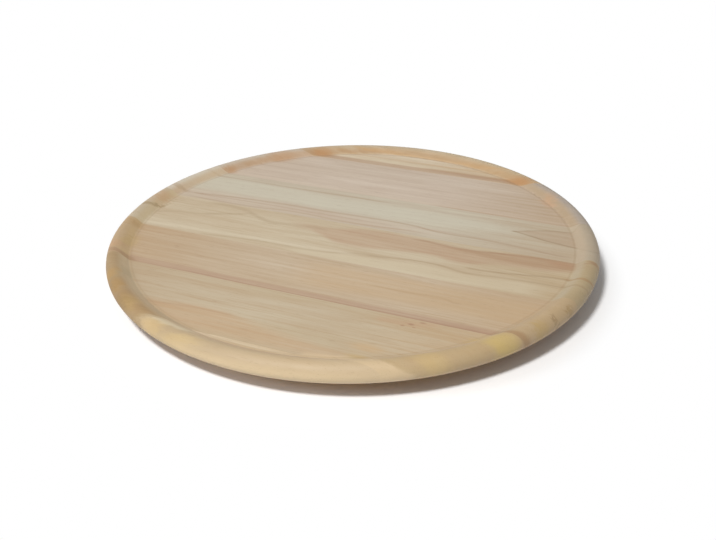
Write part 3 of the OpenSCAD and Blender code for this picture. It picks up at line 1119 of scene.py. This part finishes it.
# %% Finish of the plates
zinc, place = start_finish("zinc_plated_sheet")
axes = add("ShaderNodeSeparateXYZ", {0: place}).outputs
rolling = cloud(place, (60, 0.35, 60), 3.0, 0.6)
patches = cloud(place, (9, 9, 9), 3.0, 0.6, 5.0)
stain = ease(cloud(place, (28, 28, 28), 4.0, 0.6, 9.0), 0.5, 0.75)
radius = length(axes[0], axes[1])
off_track = calc("ABSOLUTE", minus(radius, float(RACE_R)))
track = ease(off_track, 1.3, 0.5)
colour = tint(ease(patches, 0.35, 0.7), seen(196, 198, 201), seen(176, 179, 184))
colour = tint(ease(rolling, 0.4, 0.7, 0.0, 0.35), colour, seen(158, 161, 166))
colour = tint(times(stain, 0.3), colour, seen(186, 178, 158))
colour = tint(times(track, 0.5), colour, seen(214, 214, 216))
rough = linear(rolling, 0.2, linear(patches, 0.15, 0.2))
rough = linear(track, -0.12, rough)
dress("zinc_plated_sheet", zinc, colour, rough, rolling, strength=0.15, depth=0.00005, Metallic=1.0)

# %% [markdown]
# ## Polished, turned and plated steel
#
# The balls are nearly mirrors, with a breath of haze. The rivet, the washer and the screws are
# turned parts with a thin zinc coat: fine rings round their axis and a slightly uneven shine.

# %% Finish of the balls and the small hardware
SPECK_DARKER = 34


def steel(slot, name, bright, dull, low, high, grain):
    """A metal whose colour and roughness vary with fine noise of the given grain in mm."""
    material, place = start_finish(name)
    speck = cloud(place, grain, 3.0, 0.6, 3.0)
    haze = cloud(place, (4, 4, 4), 2.0, 0.5, 8.0)
    colour = tint(ease(haze, 0.35, 0.7), seen(*bright), seen(*dull))
    dark = seen(*(v - SPECK_DARKER for v in dull))
    colour = tint(ease(speck, 0.5, 0.8, 0.0, 0.35), colour, dark)
    rough = linear(speck, high - low, low)
    dress(slot, material, colour, rough, speck, strength=0.1, depth=0.00003, Metallic=1.0)


steel("polished_ball_steel", "polished_ball_steel", (226, 227, 229), (214, 215, 218),
      low=0.04, high=0.12, grain=(1.5, 1.5, 1.5))
steel("rivet_steel", "turned_rivet_steel", (188, 188, 190), (170, 171, 174),
      low=0.25, high=0.5, grain=(3, 3, 0.15))
steel("screw_steel", "plated_screw_steel", (204, 203, 196), (186, 184, 176),
      low=0.2, high=0.42, grain=(0.5, 0.5, 0.5))

# %% [markdown]
# ## Rubber
#
# Moulded black rubber is a very dark grey with a dull skin. Dust and handling leave it slightly
# paler in patches, and the mould leaves a fine tooth, which is what the bump is for.

# %% Finish of the feet
rubber, place = start_finish("matt_black_rubber")
dust = cloud(place, (6, 6, 6), 4.0, 0.65)
tooth = cloud(place, (0.35, 0.35, 0.35), 2.0, 0.5, 4.0)
colour = tint(ease(dust, 0.4, 0.75), seen(52, 52, 54), seen(70, 69, 67))
rough = linear(dust, 0.25, 0.6)
dress("foot_rubber", rubber, colour, rough, tooth, strength=0.25, depth=0.00008)

# %% [markdown]
# ## Table, sky and lamps
#
# The photograph is a plain studio shot on a white table. Its shadow shows outside the board at
# the left, the front and the right, which takes a lamp that hangs fairly near, in front of the
# board. A photographer turns such a lamp past the object, so that the near side doesn't get too
# much of it. A larger soft lamp at the left fills in, and the sky does the rest. The floor is a
# pale diffuse sheet. Camera rays see it a little paler than it is, so that it is white where
# the lamps reach it and still shows the shadow, and away from the board they see plain white,
# as on a table that is swept up into a backdrop. Below the board it is seen a little warmer,
# because wood this near colours the light. From underneath the floor is clear, and below the
# board the first bounce passes it too, so that the sky and a large weak lamp below light the
# underside.

# %% Floor
FLOOR_SIZE = 12.0
FLOOR_TONE = 0.92
FLOOR_SEEN = (1.07, 1.07, 1.07, 1)
FLOOR_BELOW = (1.16, 1.02, 0.83, 1)
WARM_FULL, WARM_END = 0.168, 0.187
WHITE_FROM, WHITE_FULL = 0.198, 0.220


def viewed_rays():
    """1 for the rays that show a thing to the camera, straight, mirrored or through glass."""
    rays = add("ShaderNodeLightPath", {}).outputs
    viewed = calc("MAXIMUM", rays["Is Camera Ray"], rays["Is Glossy Ray"])
    return calc("MAXIMUM", viewed, rays["Is Transmission Ray"])


def blend(amount, first, second):
    """One Mix Shader node of the floor."""
    return add("ShaderNodeMixShader", {0: amount, 1: first, 2: second}).outputs[0]


pick_only(None)
bpy.ops.mesh.primitive_plane_add(size=FLOOR_SIZE)
floor = bpy.context.object
floor.name = "studio_floor"
floor_paint = bpy.data.materials.new("white_studio_floor")
open_tree(floor_paint)
tree.nodes.clear()
viewed = viewed_rays()
spot = add("ShaderNodeTexCoord", {}).outputs["Object"]
away = add("ShaderNodeVectorMath", {0: spot}, operation="LENGTH").outputs["Value"]
side = add("ShaderNodeNewGeometry", {}).outputs["Backfacing"]
bounces = add("ShaderNodeLightPath", {}).outputs["Ray Depth"]
first_bounce = calc("COMPARE", bounces, 1.0, 0.5)
under_board = calc("LESS_THAN", away, WHITE_FROM)
open_way = calc("MAXIMUM", side, times(first_bounce, under_board))
sheet = add("ShaderNodeBsdfDiffuse", {"Color": (FLOOR_TONE,) * 3 + (1,)}).outputs[0]
warmth = tint(ease(away, WARM_FULL, WARM_END), FLOOR_BELOW, FLOOR_SEEN)
near_sheet = add("ShaderNodeBsdfDiffuse", {"Color": warmth}).outputs[0]
white = add("ShaderNodeEmission", {"Color": (1, 1, 1, 1), "Strength": 1.0}).outputs[0]
clear = add("ShaderNodeBsdfTransparent", {}).outputs[0]
backdrop = blend(ease(away, WHITE_FROM, WHITE_FULL), near_sheet, white)
whole = blend(open_way, blend(viewed, sheet, backdrop), clear)
add("ShaderNodeOutputMaterial", {0: whole})
floor.data.materials.append(floor_paint)
print("floor:", FLOOR_SIZE, "m square")

# %% World and lamps
SKY_LIGHT = 0.27

world = bpy.data.worlds.new("soft_studio")
bpy.context.scene.world = world
open_tree(world)
tree.nodes.clear()
viewed = viewed_rays()
strength = linear(viewed, 1 - SKY_LIGHT, SKY_LIGHT)
sky = add("ShaderNodeBackground", {"Color": (1, 1, 1, 1), "Strength": strength})
add("ShaderNodeOutputWorld", {0: sky.outputs[0]})


def softbox(name, place, power, size, aim=(0, 0, 0)):
    """A round soft lamp that looks at the point aim."""
    bpy.ops.object.light_add(type="AREA", location=place)
    lamp = bpy.context.object
    lamp.name = name
    lamp.data.shape = "DISK"
    lamp.data.size = size
    lamp.data.energy = power
    lamp.rotation_euler = (Vector(aim) - lamp.location).to_track_quat("-Z", "Y").to_euler()
    print(name, power, "W at", [round(v, 2) for v in lamp.location])


softbox("front_softbox", (-0.05, -0.80, 1.12), power=18.2, size=0.24, aim=(0, 3.0, 0))
softbox("left_softbox", (-2.0, -1.8, 1.2), power=15.4, size=0.9)
softbox("under_softbox", (0, 0, -2.5), power=8.0, size=2.5)
bpy.context.scene.view_settings.view_transform = "Standard"
